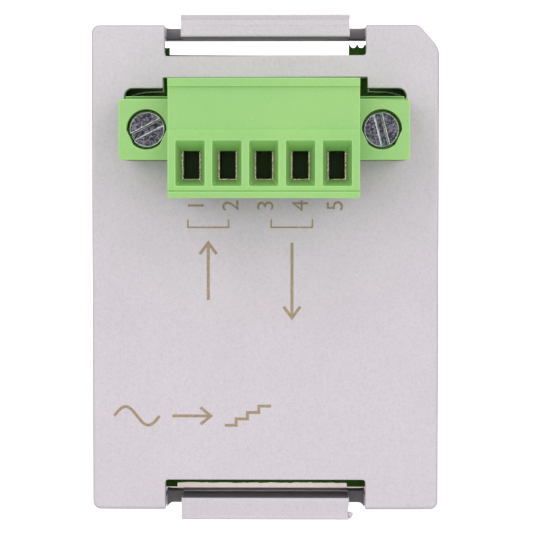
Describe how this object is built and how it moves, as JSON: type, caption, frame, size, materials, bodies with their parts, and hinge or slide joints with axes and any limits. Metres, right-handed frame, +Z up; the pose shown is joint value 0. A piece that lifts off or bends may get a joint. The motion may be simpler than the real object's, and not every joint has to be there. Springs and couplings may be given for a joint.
{
  "type": "plug-in analog module",
  "caption": "Clip-on analog option module for a compact controller: moulded cover with finger latches, circuit board, and a pluggable screw terminal held by flange screws.",
  "frame": {"origin": "centre of the cover's rear rim, on the plane that seats on the host", "axes": "+X to the right seen from the front, +Y back into the host, +Z up"},
  "size_m": [0.035, 0.0251, 0.0512],
  "materials": {
    "cover_plastic": "fine matt texture",
    "terminal_plastic": "satin",
    "laminate": "solder mask over glass laminate",
    "zinc_steel": "zinc plated",
    "cage_metal": "nickel-plated brass",
    "contact_metal": "tin-plated copper alloy",
    "nut_brass": "machined",
    "connector_plastic": "matt",
    "package_epoxy": "fine matt",
    "solder_tin": "tinned",
    "resistor_body": "glazed",
    "capacitor_body": "matt",
    "tantalum_case": "satin",
    "ferrite": "matt",
    "can_metal": "bright"
  },
  "bodies": {
    "module": {"front_cover": "cover_plastic", "circuit_board": "laminate", "board_screws": "zinc_steel", "terminal_header": "terminal_plastic", "header_pins": "contact_metal", "header_nuts": "nut_brass", "board_connector": "connector_plastic", "board_connector_contacts": "contact_metal", "processor_chip": "package_epoxy", "converter_chip": "package_epoxy", "amplifier_chips": "package_epoxy", "chip_leads": "solder_tin", "chip_resistors": "resistor_body", "chip_capacitors": "capacitor_body", "chip_terminations": "solder_tin", "tantalum_capacitors": "tantalum_case", "power_inductor": "ferrite", "crystal": "can_metal", "supply_module": "package_epoxy"},
    "top_latch": {"top_latch": "cover_plastic"},
    "bottom_latch": {"bottom_latch": "cover_plastic"},
    "plug": {"plug_housing": "terminal_plastic", "plug_contacts": "contact_metal"},
    "flange_screw_left": {"flange_screw_left": "zinc_steel"},
    "flange_screw_right": {"flange_screw_right": "zinc_steel"},
    "clamp_screw_1": {"clamp_screw_1": "zinc_steel"},
    "clamp_cage_1": {"clamp_cage_1": "cage_metal"},
    "clamp_screw_2": {"clamp_screw_2": "zinc_steel"},
    "clamp_cage_2": {"clamp_cage_2": "cage_metal"},
    "clamp_screw_3": {"clamp_screw_3": "zinc_steel"},
    "clamp_cage_3": {"clamp_cage_3": "cage_metal"},
    "clamp_screw_4": {"clamp_screw_4": "zinc_steel"},
    "clamp_cage_4": {"clamp_cage_4": "cage_metal"},
    "clamp_screw_5": {"clamp_screw_5": "zinc_steel"},
    "clamp_cage_5": {"clamp_cage_5": "cage_metal"}
  },
  "joints": [
    {"name": "top_latch_press", "type": "hinge", "parent": "module", "child": "top_latch", "pos_m": [0, -0.0051, 0.02385], "axis": [1, 0, 0], "range_deg": [0, 13], "stiffness_Nm_per_rad": 0.3},
    {"name": "bottom_latch_press", "type": "hinge", "parent": "module", "child": "bottom_latch", "pos_m": [0, -0.0051, -0.02378], "axis": [-1, 0, 0], "range_deg": [0, 13], "stiffness_Nm_per_rad": 0.3},
    {"name": "plug_slide", "type": "slide", "parent": "module", "child": "plug", "axis": [0, -1, 0], "range_m": [0, 0.0075]},
    {"name": "flange_screw_left_turn", "type": "hinge", "parent": "plug", "child": "flange_screw_left", "pos_m": [-0.01135, -0.0177, 0.0138], "axis": [0, -1, 0], "range_deg": [0, 2520]},
    {"name": "flange_screw_right_turn", "type": "hinge", "parent": "plug", "child": "flange_screw_right", "pos_m": [0.01135, -0.0177, 0.0138], "axis": [0, -1, 0], "range_deg": [0, 2520]},
    {"name": "clamp_screw_1_turn", "type": "hinge", "parent": "plug", "child": "clamp_screw_1", "pos_m": [-0.007, -0.0171, 0.0138], "axis": [0, 0, -1], "range_deg": [0, 2116]},
    {"name": "clamp_cage_1_lift", "type": "slide", "parent": "plug", "child": "clamp_cage_1", "axis": [0, 0, 1], "range_m": [0, 0.00235]},
    {"name": "clamp_screw_2_turn", "type": "hinge", "parent": "plug", "child": "clamp_screw_2", "pos_m": [-0.0035, -0.0171, 0.0138], "axis": [0, 0, -1], "range_deg": [0, 2116]},
    {"name": "clamp_cage_2_lift", "type": "slide", "parent": "plug", "child": "clamp_cage_2", "axis": [0, 0, 1], "range_m": [0, 0.00235]},
    {"name": "clamp_screw_3_turn", "type": "hinge", "parent": "plug", "child": "clamp_screw_3", "pos_m": [0, -0.0171, 0.0138], "axis": [0, 0, -1], "range_deg": [0, 2116]},
    {"name": "clamp_cage_3_lift", "type": "slide", "parent": "plug", "child": "clamp_cage_3", "axis": [0, 0, 1], "range_m": [0, 0.00235]},
    {"name": "clamp_screw_4_turn", "type": "hinge", "parent": "plug", "child": "clamp_screw_4", "pos_m": [0.0035, -0.0171, 0.0138], "axis": [0, 0, -1], "range_deg": [0, 2116]},
    {"name": "clamp_cage_4_lift", "type": "slide", "parent": "plug", "child": "clamp_cage_4", "axis": [0, 0, 1], "range_m": [0, 0.00235]},
    {"name": "clamp_screw_5_turn", "type": "hinge", "parent": "plug", "child": "clamp_screw_5", "pos_m": [0.007, -0.0171, 0.0138], "axis": [0, 0, -1], "range_deg": [0, 2116]},
    {"name": "clamp_cage_5_lift", "type": "slide", "parent": "plug", "child": "clamp_cage_5", "axis": [0, 0, 1], "range_m": [0, 0.00235]}
  ],
  "couplings": [
    {"joint": "clamp_screw_1_turn", "follows": "clamp_cage_1_lift", "rad_per_m": 15708},
    {"joint": "clamp_screw_2_turn", "follows": "clamp_cage_2_lift", "rad_per_m": 15708},
    {"joint": "clamp_screw_3_turn", "follows": "clamp_cage_3_lift", "rad_per_m": 15708},
    {"joint": "clamp_screw_4_turn", "follows": "clamp_cage_4_lift", "rad_per_m": 15708},
    {"joint": "clamp_screw_5_turn", "follows": "clamp_cage_5_lift", "rad_per_m": 15708}
  ]
}
